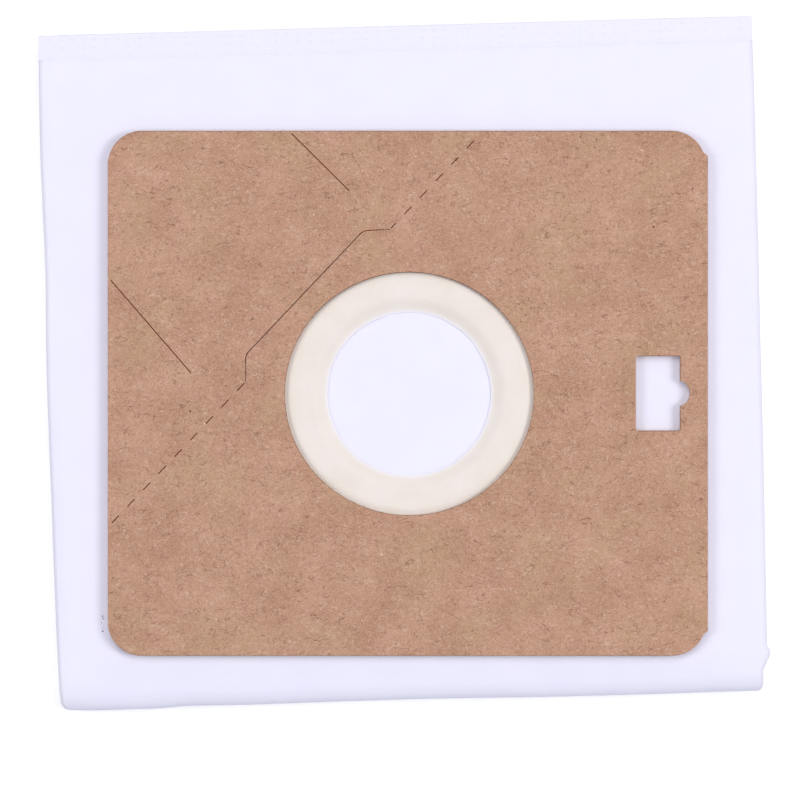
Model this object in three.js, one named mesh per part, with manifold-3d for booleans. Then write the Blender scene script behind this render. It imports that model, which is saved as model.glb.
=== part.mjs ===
// A disposable dust bag for a vacuum cleaner, folded once as it comes out of its pack.
// A gusseted tube of non-woven filter fabric is welded shut at both ends and carries a
// collar of two kraft boards. A rubber seal is clamped between the boards, and the hose
// spigot passes through it into the bag.
// Millimetres, +Z up. The bag lies with its collar on top. +Y runs from the fold to the
// welded ends. The origin is on the floor, below the middle of the part's bounding box.
import * as THREE from "three";
import { mergeVertices } from "three/addons/utils/BufferGeometryUtils.js";
import Module from "manifold-3d";

const wasm = await Module();
wasm.setup();

// Collar boards
const boardWidth = 120;
const boardHeight = 105;
const boardCorner = 6.8; // radius of the die-cut corners
const shoulderOverhang = 0.4; // the right edge is cut this far outside its corner arcs
const shoulderAngle = 22; // degrees of each right-hand arc that the shoulder takes away
const shoulderSlope = 0.7; // the straight edge starts at this share of that angle
const frontThickness = 1.0;
const backThickness = 1.0;
const glueLine = 0.3; // hot-melt between the back board and the fabric

// Inlet, close to the middle of the boards
const inletWidth = 49.8; // opening in both boards
const inletHeight = 48.6;
const inletRight = 0.3; // the inlet's axis, from the middle of the boards
const inletUp = -0.1;
const sealHoleRadius = 16.3; // stretches over the hose spigot
const sealRimWidth = 8.5; // rim that the boards clamp, outside the inlet
const sealThickness = 0.4;
const sealClearance = 0.3; // between the seal's rim and its pressed seat
const lipWidth = 3.2; // ring beside the hole where the seal turns down into the bag
const lipDrop = 0.45;
const fabricSetback = 1.0; // the fabric's opening is this much wider than the boards'

// Location window with its thumb notch, near the right edge
const windowWidth = 8.9;
const windowHeight = 14.9;
const windowFromRight = 5.5; // from the window's right side to the board's edge
const windowCorner = 0.5;
const notchDepth = 2.0;
const notchMouth = 5.1;

// Closing flap: the front board's top left corner folds over the inlet
const flapAlongTop = 75.1; // the fold line meets the top edge this far from the left
const flapDownSide = 79.3; // and the left edge this far below the top
const cutWidth = 0.2; // width of a knife cut in the board
const edgeNick = 0.8; // board left whole where a cut nears the edge
const dashPitch = 4.56;
const dashLength = 2.1;
const firstDash = 1.15; // distances along the fold line, from the left edge
const tongueStart = 40.1;
const tongueEnd = 82.1;
const upperDash = 86.25; // first whole dash past the tongue, after a short one
const shortDashGap = 0.3; // between the tongue's cut and the short dash
const tongueRise = 3.7; // the tongue's cut runs this far above the fold line
const tongueRun = 3.9; // length of each sloping end of the tongue
const tongueCorner = 0.9;
const topSlitStart = 36.2; // from the left edge
const topSlitEnd = [48.3, 12.0]; // from the left edge, and down from the top edge
const sideSlitStart = 29.2; // down from the top edge
const sideSlitEnd = [16.6, 48.4];

// Filter bag, flattened and folded in half behind the collar
const bagWidth = 143.4;
const gussetDepth = 20;
const fabric = 0.7; // thickness of the laminated non-woven
const layerGap = 0.35; // air between two layers of the flattened tube
const halvesGap = 0.35; // air between the two halves of the folded bag
const frontLength = 135.5; // from the fold to the welded end of the upper half
const backLength = 132.5; // the same for the lower half
const weldWidth = 5;
const weldThickness = 1.2;
const weldOverlap = 1; // length of squeezed tube that runs on inside the weld
const weldInset = 0.05; // the squeezed tube stays this far inside the weld's faces
const tuckLength = 14; // stretch over which the layers close up towards a weld
const frontWeldHeight = 1.3; // middle of each weld, from the plane between the halves
const backWeldHeight = 2.3;

// The collar's place on the bag, which was glued on a little askew
const inletFromFold = 61.5;
const inletFromMiddle = 0.8; // across the bag, to the right of its middle line
const bagTurn = 1.6; // degrees

// Facets
const ringSegments = 96;
const cornerSegments = 8;
const foldSteps = 10;
const tuckSteps = 6;
const bendSegments = 4; // in each half-round bend of the fabric's section
const lipSteps = 3;

// The height of each layer, from the plane between the halves
const bendRadius = fabric + layerGap / 2; // outside of the fabric's half-round bends
const innerFace = halvesGap / 2;
const outerFace = innerFace + 4 * fabric + 3 * layerGap;
const middleFace = (innerFace + outerFace) / 2;

// Heights above the floor
const foldPlane = outerFace;
const bagTop = foldPlane + outerFace;
const collarBottom = bagTop + glueLine;
const boardsMeet = collarBottom + backThickness;
const sealRimRadius = inletWidth / 2 + sealRimWidth;

const radians = THREE.MathUtils.degToRad;

// A three.js geometry as a manifold-3d solid, and back again

function toSolid(geometry) {
  const bare = new THREE.BufferGeometry();
  bare.setAttribute("position", geometry.getAttribute("position"));
  if (geometry.index) bare.setIndex(geometry.index);
  const merged = mergeVertices(bare, 1e-5);
  return new wasm.Manifold(
    new wasm.Mesh({
      numProp: 3,
      vertProperties: merged.attributes.position.array,
      triVerts: new Uint32Array(merged.index.array),
    }),
  );
}

function toGeometry(solid) {
  const mesh = solid.getMesh();
  const geometry = new THREE.BufferGeometry();
  geometry.setAttribute(
    "position",
    new THREE.BufferAttribute(mesh.vertProperties, 3),
  );
  geometry.setIndex(new THREE.BufferAttribute(mesh.triVerts, 1));
  return geometry;
}

// Knife cuts

// The outline of a knife cut that follows a line of points.
function knifeCut(points) {
  const side = (offset) =>
    points.map((point, i) => {
      const before = points[Math.max(i - 1, 0)];
      const after = points[Math.min(i + 1, points.length - 1)];
      const along = after.clone().sub(before).normalize();
      return new THREE.Vector2(-along.y, along.x)
        .multiplyScalar(offset)
        .add(point);
    });
  const half = cutWidth / 2;
  return new THREE.Shape([...side(-half), ...side(half).reverse()]);
}

// A point given from the boards' left and top edges.
function fromTopLeft(right, down) {
  return new THREE.Vector2(right - boardWidth / 2, boardHeight / 2 - down);
}

// The flap's fold line, with places along it and above it.
const foldStart = fromTopLeft(0, flapDownSide);
const foldLength = Math.hypot(flapAlongTop, flapDownSide);
const foldAlong = fromTopLeft(flapAlongTop, 0)
  .sub(foldStart)
  .divideScalar(foldLength);
const foldAbove = new THREE.Vector2(-foldAlong.y, foldAlong.x);

function onFold(along, above) {
  return foldStart
    .clone()
    .addScaledVector(foldAlong, along)
    .addScaledVector(foldAbove, above);
}

// The row of short cuts between two places on the fold line.
function perforation(start, end) {
  const cuts = [];
  for (let from = start; from + dashLength <= end; from += dashPitch) {
    cuts.push(knifeCut([onFold(from, 0), onFold(from + dashLength, 0)]));
  }
  return cuts;
}

// The long cut that leaves a tongue standing when the flap folds.
function tongueCut() {
  const corners = [
    onFold(tongueStart, 0),
    onFold(tongueStart + tongueRun, tongueRise),
    onFold(tongueEnd - tongueRun, tongueRise),
    onFold(tongueEnd, 0),
  ];
  const points = [corners[0]];
  for (const i of [1, 2]) {
    const into = corners[i - 1].clone().sub(corners[i]).normalize();
    const out = corners[i + 1].clone().sub(corners[i]).normalize();
    const bend = new THREE.QuadraticBezierCurve(
      corners[i].clone().addScaledVector(into, tongueCorner),
      corners[i],
      corners[i].clone().addScaledVector(out, tongueCorner),
    );
    points.push(...bend.getPoints(cornerSegments / 2));
  }
  points.push(corners[3]);
  return knifeCut(points);
}

// A slit that starts at a nick in the board's edge.
function slit(edgePoint, endPoint) {
  const inward = endPoint.clone().sub(edgePoint).normalize();
  const start = edgePoint.clone().addScaledVector(inward, edgeNick);
  return knifeCut([start, endPoint]);
}

function flapCuts() {
  const shortStart = tongueEnd + shortDashGap;
  const shortEnd = upperDash - dashPitch + dashLength;
  return [
    ...perforation(firstDash, tongueStart),
    tongueCut(),
    knifeCut([onFold(shortStart, 0), onFold(shortEnd, 0)]),
    ...perforation(upperDash, foldLength - edgeNick),
    slit(fromTopLeft(topSlitStart, 0), fromTopLeft(...topSlitEnd)),
    slit(fromTopLeft(0, sideSlitStart), fromTopLeft(...sideSlitEnd)),
  ];
}

// Boards

// Both boards' outline: round corners, with a small shoulder on each right-hand one.
function boardShape() {
  const x = boardWidth / 2;
  const y = boardHeight / 2;
  const r = boardCorner;
  const arcX = x - shoulderOverhang - r;
  const cut = radians(shoulderAngle);
  const shoulderY = y - r * (1 - Math.sin(cut * shoulderSlope));
  const shape = new THREE.Shape();
  shape.moveTo(x, -shoulderY);
  shape.lineTo(x, shoulderY);
  shape.absarc(arcX, y - r, r, cut, Math.PI / 2);
  shape.absarc(r - x, y - r, r, Math.PI / 2, Math.PI);
  shape.absarc(r - x, r - y, r, Math.PI, 1.5 * Math.PI);
  shape.absarc(arcX, r - y, r, 1.5 * Math.PI, 2 * Math.PI - cut);
  shape.closePath();
  return shape;
}

// The window, with a round notch for a thumb on its right side.
function windowPath() {
  const right = boardWidth / 2 - windowFromRight;
  const left = right - windowWidth;
  const top = windowHeight / 2;
  const c = windowCorner;
  const halfMouth = notchMouth / 2;
  const notchRadius = (notchDepth ** 2 + halfMouth ** 2) / (2 * notchDepth);
  const notchX = right + notchDepth - notchRadius;
  const half = Math.atan2(halfMouth, right - notchX);
  const path = new THREE.Path();
  path.moveTo(left, -top + c);
  path.absarc(left + c, c - top, c, Math.PI, 1.5 * Math.PI);
  path.lineTo(right, -top);
  path.absarc(notchX, 0, notchRadius, -half, half);
  path.lineTo(right, top);
  path.absarc(left + c, top - c, c, Math.PI / 2, Math.PI);
  path.closePath();
  return path;
}

function inletPath() {
  const oval = new THREE.EllipseCurve(
    inletRight,
    inletUp,
    inletWidth / 2,
    inletHeight / 2,
  );
  return new THREE.Path(oval.getPoints(ringSegments).slice(1));
}

function board(thickness) {
  const shape = boardShape();
  shape.holes.push(inletPath(), windowPath());
  return new THREE.ExtrudeGeometry(shape, {
    depth: thickness,
    bevelEnabled: false,
    curveSegments: cornerSegments,
  });
}

function frontBoard() {
  let solid = toSolid(board(frontThickness));
  for (const cut of flapCuts()) {
    const blade = new THREE.ExtrudeGeometry(cut, {
      depth: 3 * frontThickness,
      bevelEnabled: false,
    });
    solid = solid.subtract(toSolid(blade.translate(0, 0, -frontThickness)));
  }
  return toGeometry(solid).translate(0, 0, boardsMeet);
}

// The board is pressed down under the seal's rim, so that the two boards can meet.
function backBoard() {
  const seatRadius = sealRimRadius + sealClearance;
  const seat = new THREE.CylinderGeometry(
    seatRadius,
    seatRadius,
    2 * sealThickness,
    ringSegments,
  );
  seat.rotateX(Math.PI / 2).translate(inletRight, inletUp, boardsMeet);
  const blank = board(backThickness).translate(0, 0, collarBottom);
  return toGeometry(toSolid(blank).subtract(toSolid(seat)));
}

// Seal: a thin rubber washer, turned down into the bag beside its hole

function seal() {
  const top = [];
  const bottom = [];
  for (let i = 0; i <= lipSteps; i++) {
    const share = i / lipSteps;
    const radius = sealHoleRadius + sealThickness / 2 + lipWidth * (1 - share);
    const drop = lipDrop * THREE.MathUtils.smoothstep(share, 0, 1);
    top.push(new THREE.Vector2(radius, boardsMeet - drop));
    bottom.push(new THREE.Vector2(radius, boardsMeet - sealThickness - drop));
  }
  const edge = new THREE.Path()
    .absarc(
      sealHoleRadius + sealThickness / 2,
      boardsMeet - lipDrop - sealThickness / 2,
      sealThickness / 2,
      Math.PI / 2,
      1.5 * Math.PI,
    )
    .getPoints(lipSteps)
    .slice(1, -1);
  const profile = [
    new THREE.Vector2(sealRimRadius, boardsMeet - sealThickness),
    new THREE.Vector2(sealRimRadius, boardsMeet),
    ...top,
    ...edge,
    ...bottom.reverse(),
    new THREE.Vector2(sealRimRadius, boardsMeet - sealThickness),
  ];
  const ring = new THREE.LatheGeometry(profile, ringSegments);
  return ring.rotateX(Math.PI / 2).translate(inletRight, inletUp, 0);
}

// Filter bag

// Half of one loop of the flattened tube's section, from the middle of its upper side
// round a side fold, into the gusset, out again and back to the middle.
// outward is the way from the fabric's middle to this face: 1 outside, -1 in the cavity.
function halfLoop(outward) {
  const sideX = bagWidth / 2 - bendRadius;
  const gussetX = bagWidth / 2 - gussetDepth + bendRadius;
  const middleOfFabric = bendRadius - fabric / 2;
  const sideRadius = middleOfFabric + (outward * fabric) / 2;
  const gussetRadius = middleOfFabric - (outward * fabric) / 2;
  const upperBend = outerFace - bendRadius;
  const lowerBend = innerFace + bendRadius;
  const path = new THREE.Path();
  path.moveTo(0, upperBend + sideRadius);
  path.absarc(sideX, upperBend, sideRadius, Math.PI / 2, -Math.PI / 2, true);
  path.absarc(gussetX, middleFace, gussetRadius, Math.PI / 2, 1.5 * Math.PI);
  path.absarc(sideX, lowerBend, sideRadius, Math.PI / 2, -Math.PI / 2, true);
  path.lineTo(0, lowerBend - sideRadius);
  return path.getPoints(bendSegments / 2);
}

function fullLoop(outward) {
  const right = halfLoop(outward);
  const left = right
    .slice(1, -1)
    .map((point) => new THREE.Vector2(-point.x, point.y))
    .reverse();
  return [...right, ...left];
}

// One half of the folded bag near its weld: the layers close up and move to the weld's
// height. share runs from 0 in the open bag to 1 at the weld.
function squeeze(height, share, weldHeight) {
  const full = outerFace - innerFace;
  const closed = (weldThickness - 2 * weldInset) / full;
  const eased = THREE.MathUtils.smoothstep(share, 0, 1);
  const scale = THREE.MathUtils.lerp(1, closed, eased);
  const middle = THREE.MathUtils.lerp(middleFace, weldHeight, eased);
  return middle + (height - middleFace) * scale;
}

// Functions that place a point of the section, one for each station from the upper
// half's welded end, down to the fold and along the lower half to its own end.
function stations() {
  const half = (length, weldHeight, up) => {
    const weldEdge = length - weldWidth;
    const steps = [...Array(tuckSteps + 1).keys()];
    const places = steps.map((i) => [
      weldEdge - tuckLength * (1 - i / tuckSteps),
      i / tuckSteps,
    ]);
    places.push([weldEdge + weldOverlap, 1]);
    return places.map(
      ([y, share]) =>
        (x, height) =>
          new THREE.Vector3(
            x,
            y,
            foldPlane + up * squeeze(height, share, weldHeight),
          ),
    );
  };
  const fold = [...Array(foldSteps + 1).keys()].map((i) => (x, height) => {
    const turn = (Math.PI * i) / foldSteps;
    return new THREE.Vector3(
      x,
      outerFace - height * Math.sin(turn),
      foldPlane + height * Math.cos(turn),
    );
  });
  return [
    ...half(frontLength, frontWeldHeight, 1).reverse(),
    ...fold,
    ...half(backLength, backWeldHeight, -1),
  ];
}

// The folded tube, open only at its inside, as one closed surface.
function foldedTube() {
  const outside = fullLoop(1);
  const inside = fullLoop(-1);
  const section = [...outside, ...inside];
  const places = stations();
  const positions = places.flatMap((place) =>
    section.flatMap((point) => place(point.x, point.y).toArray()),
  );
  const triangles = [];
  const wall = (first, count, flip) => {
    for (let s = 0; s + 1 < places.length; s++) {
      for (let i = 0; i < count; i++) {
        const a = s * section.length + first + i;
        const b = s * section.length + first + ((i + 1) % count);
        const c = a + section.length;
        const d = b + section.length;
        const quad = flip ? [a, b, c, b, d, c] : [a, c, b, b, c, d];
        triangles.push(...quad);
      }
    }
  };
  wall(0, outside.length, false);
  wall(outside.length, inside.length, true);
  const cap = THREE.ShapeUtils.triangulateShape(outside, [inside]);
  const last = (places.length - 1) * section.length;
  for (const [a, b, c] of cap) {
    triangles.push(a, c, b);
    triangles.push(last + a, last + b, last + c);
  }
  const geometry = new THREE.BufferGeometry();
  geometry.setAttribute(
    "position",
    new THREE.Float32BufferAttribute(positions, 3),
  );
  geometry.setIndex(triangles);
  return geometry;
}

function weld(length, height) {
  const bar = new THREE.BoxGeometry(bagWidth, weldWidth, weldThickness);
  return bar.translate(0, length - weldWidth / 2, foldPlane + height);
}

function filterBag() {
  // The cutter reaches through the upper panel and stops above the lower one.
  const openingRadius = inletWidth / 2 + fabricSetback;
  const opening = new THREE.CylinderGeometry(
    openingRadius,
    openingRadius,
    2 * (fabric + layerGap),
    ringSegments,
  );
  opening.rotateX(Math.PI / 2);
  opening.translate(inletFromMiddle, inletFromFold, bagTop);
  const bag = toSolid(foldedTube())
    .add(toSolid(weld(frontLength, frontWeldHeight)))
    .add(toSolid(weld(backLength, -backWeldHeight)))
    .subtract(toSolid(opening));
  return toGeometry(bag);
}

// Assembly

function material(color, roughness) {
  return new THREE.MeshStandardMaterial({ color, roughness, metalness: 0 });
}

const kraft = material(0xbe9780, 0.9);
const rubber = material(0xf0e7e1, 0.55);
const nonWoven = material(0xf1f0fe, 0.95);

function piece(name, geometry, finish) {
  const mesh = new THREE.Mesh(geometry, finish);
  mesh.name = name;
  return mesh;
}

const dustBag = new THREE.Group();
dustBag.add(piece("front_board", frontBoard(), kraft));
dustBag.add(piece("back_board", backBoard(), kraft));
dustBag.add(piece("inlet_seal", seal(), rubber));

// The bag is turned about the inlet's axis, where the collar is glued to it.
const bag = piece("filter_bag", filterBag(), nonWoven);
bag.geometry.translate(-inletFromMiddle, -inletFromFold, 0);
bag.position.set(inletRight, inletUp, 0);
bag.rotation.z = radians(bagTurn);
dustBag.add(bag);

dustBag.updateMatrixWorld(true);
const bounds = new THREE.Box3().setFromObject(dustBag, true);
const centre = bounds.getCenter(new THREE.Vector3());
dustBag.position.set(-centre.x, -centre.y, -bounds.min.z);

export default dustBag;
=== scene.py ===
import bmesh
import bpy
import numpy as np
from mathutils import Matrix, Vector


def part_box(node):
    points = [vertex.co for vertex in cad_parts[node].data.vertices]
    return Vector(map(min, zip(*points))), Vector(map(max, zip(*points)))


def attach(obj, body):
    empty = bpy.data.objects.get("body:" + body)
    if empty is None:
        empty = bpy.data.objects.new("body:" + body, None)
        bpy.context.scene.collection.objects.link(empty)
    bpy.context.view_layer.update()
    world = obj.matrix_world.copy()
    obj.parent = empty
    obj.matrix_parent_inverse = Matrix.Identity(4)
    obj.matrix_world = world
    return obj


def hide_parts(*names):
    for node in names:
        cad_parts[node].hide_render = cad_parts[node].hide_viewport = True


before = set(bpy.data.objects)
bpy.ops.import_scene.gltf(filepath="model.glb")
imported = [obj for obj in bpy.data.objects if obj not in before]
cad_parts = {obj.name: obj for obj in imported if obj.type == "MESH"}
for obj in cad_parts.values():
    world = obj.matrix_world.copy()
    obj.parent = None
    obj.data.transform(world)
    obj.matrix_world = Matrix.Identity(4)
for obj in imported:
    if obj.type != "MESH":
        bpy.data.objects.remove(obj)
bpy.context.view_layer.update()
print("packed nodes:", sorted(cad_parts))

# %% [markdown]
# ## Sizes
# Everything is thought of in millimetres and turned into metres at the last moment, because
# Blender's unit is the metre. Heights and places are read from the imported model, so the
# soft pieces always fit the boards. What can't be read there, such as the depth of a
# gusset, is written down once, as a real size.
# %% Units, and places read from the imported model
MM = 0.001


def node_box(node):
    low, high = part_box(node)
    return np.array(low) / MM, np.array(high) / MM


board_low, board_high = node_box("front_board")
back_low, _ = node_box("back_board")
seal_low, seal_high = node_box("inlet_seal")
bag_low, bag_high = node_box("filter_bag")
inlet = (seal_low + seal_high) / 2
board_middle = (board_low + board_high) / 2
print("inlet axis at", inlet[:2].round(2), "mm")
print("collar from", back_low[2].round(2), "to", board_high[2].round(2), "mm")

# %% [markdown]
# ## Small helpers
# A shader tree and a Geometry Nodes tree are filled in the same way: make a node, set its
# options, then give each input a value or a link. One function does all of it, and a node
# that is given as an input is linked by its first output. Colours are picked as sRGB hex
# values, as a paint program shows them, and Blender wants linear light.
# %% One function that adds a node, and one for colours
MATH = "ShaderNodeMath"
VECTOR = "ShaderNodeVectorMath"
PARTS = "ShaderNodeSeparateXYZ"
RANGE = "ShaderNodeMapRange"
NOISE = "ShaderNodeTexNoise"
SMOOTH = {"interpolation_type": "SMOOTHSTEP"}
LEVEL = (1, 1, 0)


def add(tree, kind, inputs=(), operation=None, **settings):
    """Adds a node. Its inputs are given in a row, or by name."""
    node = tree.nodes.new(kind)
    if operation:
        node.operation = operation
    for name, value in settings.items():
        setattr(node, name, value)
    for name, value in inputs.items() if isinstance(inputs, dict) else enumerate(inputs):
        if isinstance(value, bpy.types.Node):
            value = value.outputs[0]
        if isinstance(value, bpy.types.NodeSocket):
            tree.links.new(value, node.inputs[name])
        else:
            node.inputs[name].default_value = value
    return node


def linear(hex_colour):
    channels = [int(hex_colour[i : i + 2], 16) / 255 for i in (1, 3, 5)]
    return (*(c / 12.92 if c <= 0.04045 else ((c + 0.055) / 1.055) ** 2.4 for c in channels), 1.0)


print("kraft brown in linear light:", np.round(linear("#BD937C")[:3], 3))

# %% [markdown]
# ## Camera
# The photo looks straight down, from so far that the window's walls hardly show. A metre
# does that. At the boards' face one pixel is 0.2 mm, so a long lens sees 160 mm across. The
# middle of the picture lies a little left of and below the boards' middle.
# %% The camera
PIXEL = 0.2
PICTURE = 800
CAMERA_HEIGHT = 1000.0
MIDDLE_FROM_BOARD = (-1.56, -1.34)

camera_data = bpy.data.cameras.new("camera")
camera_data.lens = camera_data.sensor_width * CAMERA_HEIGHT / (PICTURE * PIXEL)
camera = bpy.data.objects.new("camera", camera_data)
camera.location = (
    (board_middle[0] + MIDDLE_FROM_BOARD[0]) * MM,
    (board_middle[1] + MIDDLE_FROM_BOARD[1]) * MM,
    (board_high[2] + CAMERA_HEIGHT) * MM,
)
bpy.context.scene.collection.objects.link(camera)
bpy.context.scene.camera = camera
bpy.context.scene.view_settings.view_transform = "Standard"
print("lens", round(camera_data.lens, 1), "mm")

# %% [markdown]
# ## Light
# Two soft boxes stand to the right and left, as the thin shadows along the boards' left and
# right edges say, and the right one is the stronger. A third stands high behind, because the
# shadow under the lower edge is narrow and the upper edge has none. The rest comes evenly
# from all round, a little cooler than the lamps, which keeps the shadows on white fabric
# from turning brown beside the boards. A matt surface shows its own colour when the light
# that falls on it adds up to pi, so the lamps' powers are worked out from that.
# %% Soft boxes
LAMP_DISTANCE = 1.3
LAMP_SIZE = 0.5
LAMP_COLOUR = "#FFFCF6"
# azimuth and elevation in degrees, and share of the light
LAMPS = {"right": (0, 48, 0.29), "left": (180, 48, 0.19), "behind": (90, 66, 0.19)}

for name, (azimuth, elevation, share) in LAMPS.items():
    around = np.radians(azimuth)
    up = np.radians(elevation)
    direction = Vector((np.cos(around) * np.cos(up), np.sin(around) * np.cos(up), np.sin(up)))
    lamp_data = bpy.data.lights.new(name + "_soft_box", "AREA")
    lamp_data.shape = "SQUARE"
    lamp_data.size = LAMP_SIZE
    lamp_data.color = linear(LAMP_COLOUR)[:3]
    lamp_data.energy = share * np.pi**2 * LAMP_DISTANCE**2 / np.sin(up)
    lamp = bpy.data.objects.new(name + "_soft_box", lamp_data)
    lamp.location = direction * LAMP_DISTANCE
    lamp.rotation_euler = direction.to_track_quat("Z", "Y").to_euler()
    bpy.context.scene.collection.objects.link(lamp)
    print(name, "soft box", round(lamp_data.energy, 2), "W")

# %% The surrounding light, which the camera sees as white
SURROUND = 0.47
SURROUND_COLOUR = "#EDF1FF"

world = bpy.data.worlds.new("studio")
world.use_nodes = True
room = world.node_tree
room.nodes.clear()
ray = add(room, "ShaderNodeLightPath").outputs
seen = add(room, MATH, (ray["Is Camera Ray"], ray["Is Glossy Ray"]), "MAXIMUM")
seen = add(room, MATH, (seen, ray["Is Transmission Ray"]), "MAXIMUM")
surround = add(room, "ShaderNodeBackground", {"Color": linear(SURROUND_COLOUR), "Strength": SURROUND})
backdrop = add(room, "ShaderNodeBackground", {"Strength": 1.0})
mixed = add(room, "ShaderNodeMixShader", (seen, surround, backdrop))
add(room, "ShaderNodeOutputWorld", {"Surface": mixed})
bpy.context.scene.world = world
print("light from all round:", SURROUND)

# %% [markdown]
# ## Floor
# The photo's background is plain white. The floor is a matt white sheet, which keeps the
# bag's shadow, and a little light of its own that only the camera sees lifts it to white. Far
# from the bag the lamps reach it less, so there it gets more of that.
# %% The floor
FLOOR_SIZE = 4.0
FLOOR_COLOUR = "#F5F5F5"
# distance from the middle in metres, and strength of the camera's lift there
NEAR_FLOOR, NEAR_LIFT = 0.4, 0.28
FAR_FLOOR, FAR_LIFT = 1.5, 0.62

half = FLOOR_SIZE / 2
corners = [(-half, -half, 0), (half, -half, 0), (half, half, 0), (-half, half, 0)]
floor_mesh = bpy.data.meshes.new("floor")
floor_mesh.from_pydata(corners, [], [(0, 1, 2, 3)])
floor = bpy.data.objects.new("floor", floor_mesh)
bpy.context.scene.collection.objects.link(floor)

paper = bpy.data.materials.new("matt_white_backdrop_paper")
paper.use_nodes = True
sheet = paper.node_tree
sheet.nodes.clear()
matt = add(sheet, "ShaderNodeBsdfDiffuse", {"Color": linear(FLOOR_COLOUR)})
place = add(sheet, "ShaderNodeTexCoord").outputs["Object"]
away = add(sheet, VECTOR, (place,), "LENGTH").outputs["Value"]
lift = add(sheet, RANGE, (away, NEAR_FLOOR, FAR_FLOOR, NEAR_LIFT, FAR_LIFT), **SMOOTH)
ray = add(sheet, "ShaderNodeLightPath").outputs
lift = add(sheet, MATH, (lift, ray["Is Camera Ray"]), "MULTIPLY")
glow = add(sheet, "ShaderNodeEmission", {"Strength": lift})
both = add(sheet, "ShaderNodeAddShader", (matt, glow))
add(sheet, "ShaderNodeOutputMaterial", {"Surface": both})
floor_mesh.materials.append(paper)
print("floor", FLOOR_SIZE, "m wide")

# %% [markdown]
# ## Kraft board
# The collar is unbleached kraft board, about a millimetre thick: brown pulp fibres pressed
# flat. From a step away that gives an even, dull brown. From close by it gives hair-like
# wisps, most of them dark and some pale, which run a little more along the board's grain
# than across it, faint clouds, a few specks of bark and a greener cast here and there.
# A wisp is a contour line of a noise texture, drawn thin and cut up by a second noise. That
# gives curved, broken, hair-thin lines in any number, which no round spot could.
# %% Helpers for materials
def new_material(name):
    """An empty material's tree, and object coordinates in it with one unit to a millimetre."""
    material = bpy.data.materials.new(name)
    material.use_nodes = True
    tree = material.node_tree
    tree.nodes.clear()
    place = add(tree, "ShaderNodeTexCoord").outputs["Object"]
    return material, tree, add(tree, VECTOR, (place, (1 / MM,) * 3), "MULTIPLY")


def lay_over(tree, colour, layers):
    """Lays hex colours over a first colour, each as thickly as its share says."""
    for share, hex_colour in layers:
        mix = add(tree, "ShaderNodeMix", {0: share, 6: colour, 7: linear(hex_colour)}, data_type="RGBA")
        colour = mix.outputs[2]
    return colour


def set_tones(ramp, tones):
    """Moves a colour ramp's stops to these positions and gives them these hex colours."""
    for stop, (position, hex_colour) in zip(ramp.color_ramp.elements, tones.items()):
        stop.position = position
        stop.color = linear(hex_colour)


def with_finish(material, finish):
    """The material, its tree ended by one shader with these inputs."""
    shader = add(material.node_tree, "ShaderNodeBsdfPrincipled", finish)
    add(material.node_tree, "ShaderNodeOutputMaterial", {"Surface": shader})
    return material


def apart(tree, value, other):
    """How far two numbers lie from each other."""
    return add(tree, MATH, (add(tree, MATH, (value, other), "SUBTRACT"),), "ABSOLUTE")


print("material helpers are ready")

# %% Wisps and specks
# seed, wisps to the millimetre, stretch along the grain, line width, colour, strength
WISPS = [
    (1.0, 0.80, 1.9, 0.016, "dark fibre", 0.52),
    (2.0, 1.25, 1.5, 0.022, "dark fibre", 0.38),
    (3.0, 1.10, 1.5, 0.020, "pale fibre", 0.32),
    (4.0, 1.90, 1.2, 0.036, "pale fibre", 0.27),
    (5.0, 2.10, 1.2, 0.036, "dark fibre", 0.28),
]
# room that each speck has and its radius, in mm, colour, strength
SPECKS = [
    (4.2, 0.32, "dark fibre", 0.95),
    (3.6, 0.28, "pale fibre", 0.80),
]


def wisps(tree, place, seed, scale, stretch, width):
    drawn = add(tree, VECTOR, (place, (1 / stretch, 1.0, 1.0)), "MULTIPLY")
    shape = {"Vector": drawn, "W": seed, "Scale": scale, "Detail": 1.5, "Roughness": 0.6}
    gaps = {"Vector": drawn, "W": seed + 50, "Scale": 0.9 * scale, "Detail": 0.0}
    shape = add(tree, NOISE, shape, noise_dimensions="4D")
    gaps = add(tree, NOISE, gaps, noise_dimensions="4D")
    line = add(tree, RANGE, (apart(tree, shape, 0.5), width, 0.3 * width), **SMOOTH)
    drawn_here = add(tree, RANGE, (gaps, 0.52, 0.6), **SMOOTH)
    return add(tree, MATH, (line, drawn_here), "MULTIPLY")


def specks(tree, place, room, radius, seed):
    spots = {"Vector": place, "Scale": 1 / room, "W": seed}
    spots = add(tree, "ShaderNodeTexVoronoi", spots, voronoi_dimensions="4D").outputs
    chance = add(tree, "ShaderNodeSeparateColor", {"Color": spots["Color"]})
    size = add(tree, MATH, (chance, radius / room), "MULTIPLY")
    off_middle = add(tree, MATH, (spots["Distance"], size), "DIVIDE")
    return add(tree, RANGE, (off_middle, 1.15, 0.7), **SMOOTH)


print(len(WISPS), "layers of wisps and", len(SPECKS), "of specks")

# %% [markdown]
# A die has cut the board. Its cut edge shows the plies of paler pulp inside, with a thin dark
# line where the two boards are glued together. Along the rims a darker line is painted:
# mostly painted shade, where a cut edge throws a thin shadow, and partly the die's crushed
# rim. It is darkest along the top of the inlet, runs round the window but for its left side,
# and along the collar's outline it is faint at the sides and stronger at the top and bottom.
# Down in the slits a strong orange is painted, which turns their shade into a dark brown line
# and not a grey one. To know where a rim or a slit is, the material works out how far each
# place lies from the round inlet and from the rounded outlines of the collar and its window.
# %% Where the rims and slits are, in millimetres
COLLAR_CORNER = 6.8
COLLAR_CORE = (board_high - board_low)[:2] / 2 - COLLAR_CORNER
OPENING_WIDTH = 49.8
OPENING_HEIGHT = 48.6
WINDOW_SIZE = np.array([8.9, 14.9])
WINDOW_CORNER = 0.5
WINDOW_CORE = WINDOW_SIZE / 2 - WINDOW_CORNER
WINDOW_FROM_RIGHT = 5.5
WINDOW_MIDDLE = (board_high[0] - WINDOW_FROM_RIGHT - WINDOW_CORNER - WINDOW_CORE[0], board_middle[1])
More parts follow.
